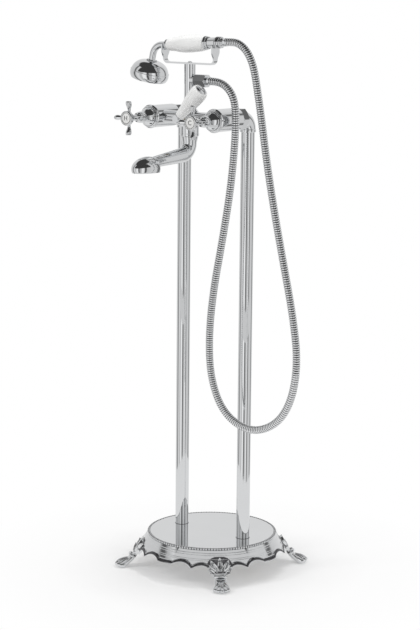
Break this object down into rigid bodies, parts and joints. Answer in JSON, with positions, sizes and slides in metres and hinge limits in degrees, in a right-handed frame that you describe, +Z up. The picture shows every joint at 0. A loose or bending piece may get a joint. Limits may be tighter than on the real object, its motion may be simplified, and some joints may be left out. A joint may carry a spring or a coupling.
{
  "type": "bath shower mixer",
  "caption": "Free-standing chrome bath shower mixer on a round claw-footed base, with cross handles, a ceramic diverter lever, a swivel spout and a cradled handset on a hose.",
  "frame": {"origin": "on the floor, on the vertical axis of the round base", "axes": "+Z up; the spout and the handles face -Y; +X is the side of the hose outlet"},
  "size_m": [0.4011, 0.3732, 1.0133],
  "materials": {
    "polished_chrome": "polished",
    "hose_metal": "polished, ribbed",
    "raw_brass": "machined",
    "steel_screw": "plain",
    "white_ceramic": "glossy glaze",
    "index_enamel": "glossy enamel",
    "seal_rubber": "matt"
  },
  "bodies": {
    "stand": {"base_skirt": "polished_chrome", "base_plate": "polished_chrome", "bead_rim": "polished_chrome", "foot_front_left": "polished_chrome", "foot_front_right": "polished_chrome", "foot_rear_left": "polished_chrome", "foot_rear_right": "polished_chrome", "foot_screws": "steel_screw", "standpipe_left": "polished_chrome", "standpipe_right": "polished_chrome", "inlet_tail_left": "raw_brass", "inlet_tail_right": "raw_brass", "inlet_lock_nuts": "raw_brass", "inlet_washers": "seal_rubber", "pipe_collars": "polished_chrome", "elbow_left": "polished_chrome", "elbow_right": "polished_chrome", "union_nuts": "polished_chrome", "union_washers": "seal_rubber", "mixer_body": "polished_chrome", "cartridge_left": "raw_brass", "cartridge_right": "raw_brass", "bonnet_shroud_left": "polished_chrome", "bonnet_shroud_right": "polished_chrome", "diverter_cap": "polished_chrome", "spout_collar": "polished_chrome", "riser_column": "polished_chrome", "outlet_tee": "polished_chrome", "hose_nut_lower": "polished_chrome", "hose_washer": "seal_rubber", "hose_ferrule_lower": "polished_chrome", "shower_hose": "hose_metal", "cradle": "polished_chrome", "cradle_screw": "polished_chrome"},
    "hot_handle": {"valve_spindle_left": "polished_chrome", "cross_handle_left": "polished_chrome", "index_bezel_left": "polished_chrome", "index_button_left": "index_enamel"},
    "cold_handle": {"valve_spindle_right": "polished_chrome", "cross_handle_right": "polished_chrome", "index_bezel_right": "polished_chrome", "index_button_right": "index_enamel"},
    "diverter_lever": {"diverter_spindle": "raw_brass", "diverter_hub": "polished_chrome", "lever_rod": "raw_brass", "lever_grip": "white_ceramic", "lever_cap": "polished_chrome"},
    "swivel_spout": {"spout": "polished_chrome", "spout_spigot": "raw_brass", "spout_o_rings": "seal_rubber"},
    "handset": {"handset_grip": "white_ceramic", "grip_tube": "raw_brass", "front_ring": "polished_chrome", "rear_ring": "polished_chrome", "handset_tail": "polished_chrome", "hose_nut_upper": "polished_chrome", "hose_ferrule_upper": "polished_chrome", "handset_neck": "polished_chrome", "handset_bell": "polished_chrome", "rose_plate": "polished_chrome"}
  },
  "joints": [
    {"name": "hot_valve_turn", "type": "hinge", "parent": "stand", "child": "hot_handle", "pos_m": [-0.075, -0.097, 0.863], "axis": [0, 1, 0], "range_deg": [-90, 0]},
    {"name": "cold_valve_turn", "type": "hinge", "parent": "stand", "child": "cold_handle", "pos_m": [0.075, -0.097, 0.863], "axis": [0, 1, 0], "range_deg": [0, 90]},
    {"name": "diverter_turn", "type": "hinge", "parent": "stand", "child": "diverter_lever", "pos_m": [0, -0.1115, 0.863], "axis": [0, 1, 0], "range_deg": [-90, 0]},
    {"name": "spout_swivel", "type": "hinge", "parent": "stand", "child": "swivel_spout", "pos_m": [0, -0.077, 0.836], "axis": [0, 0, 1], "range_deg": [-60, 60]},
    {"name": "handset_lift", "type": "slide", "parent": "stand", "child": "handset", "axis": [0, 0, 1], "range_m": [0, 0.06], "deforming": ["shower_hose"]}
  ]
}
